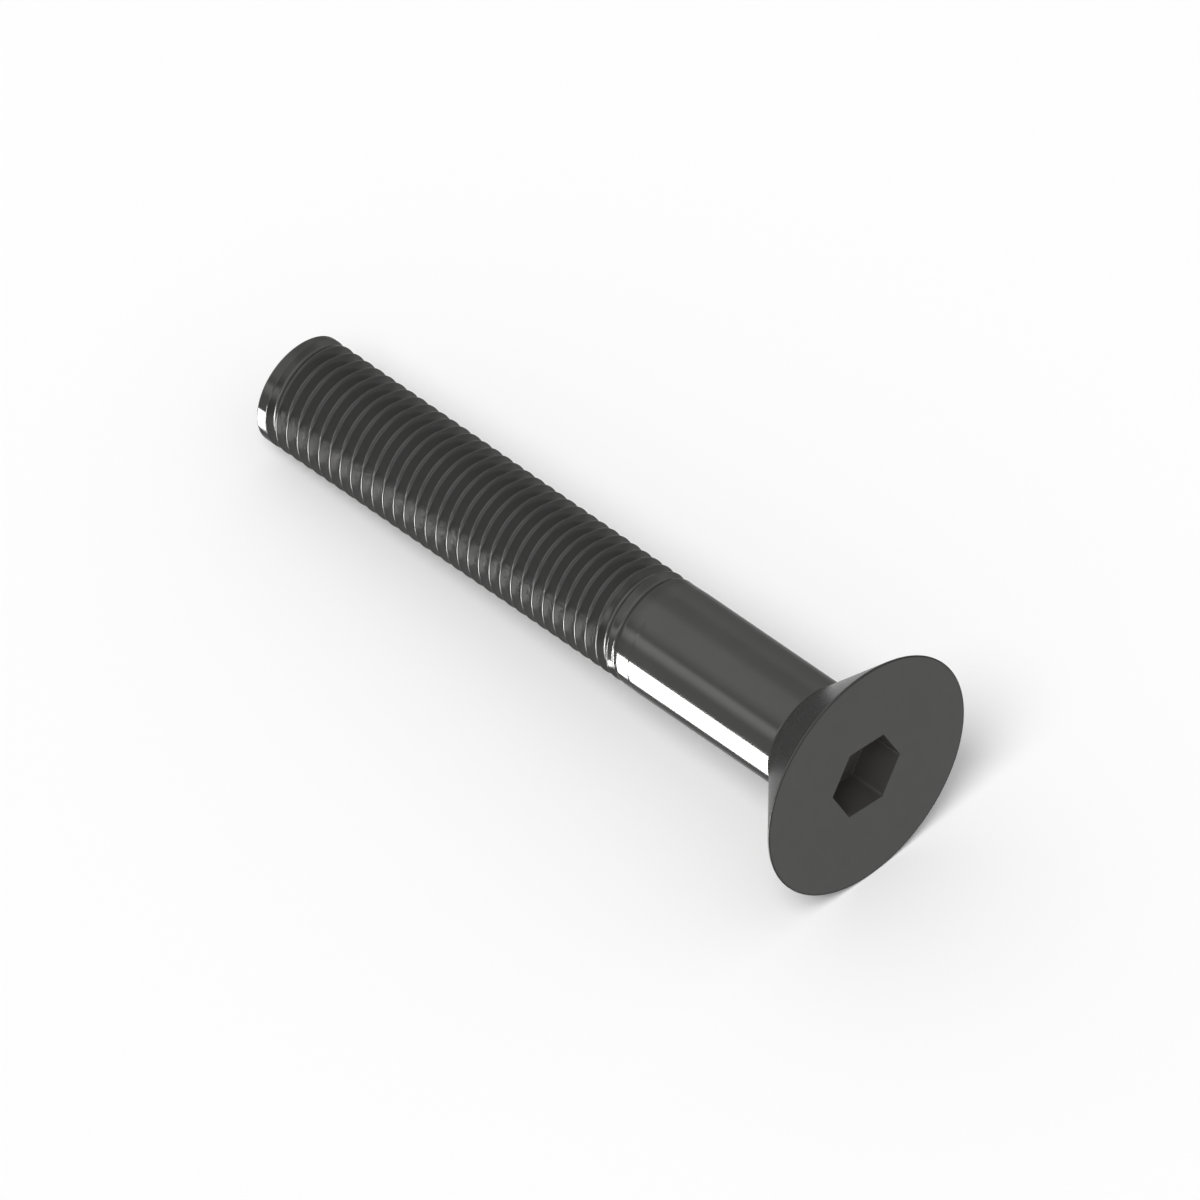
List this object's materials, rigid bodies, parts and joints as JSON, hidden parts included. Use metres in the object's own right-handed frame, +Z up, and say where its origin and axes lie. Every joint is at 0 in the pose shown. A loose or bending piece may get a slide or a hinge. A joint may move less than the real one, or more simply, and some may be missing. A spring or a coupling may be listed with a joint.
{
  "type": "countersunk socket screw",
  "caption": "Flat-head countersunk machine screw with a hexagon socket, plain shank and fine right-hand thread, for holding a part down with its head flush.",
  "frame": {"origin": "on the floor, below the middle of the bounding box of the screw as it lies", "axes": "+X runs along the screw from its tip towards its head, +Z is up; the screw's own axis lies in the XZ plane and rises towards the head by 5.37 degrees, because the screw rests on the rim of its head and on its thread"},
  "size_m": [0.0408, 0.0134, 0.0134],
  "materials": {
    "black_steel": "black oxide on rolled and forged alloy steel, lightly oiled, satin"
  },
  "bodies": {
    "root": {"screw": "black_steel"}
  },
  "joints": []
}
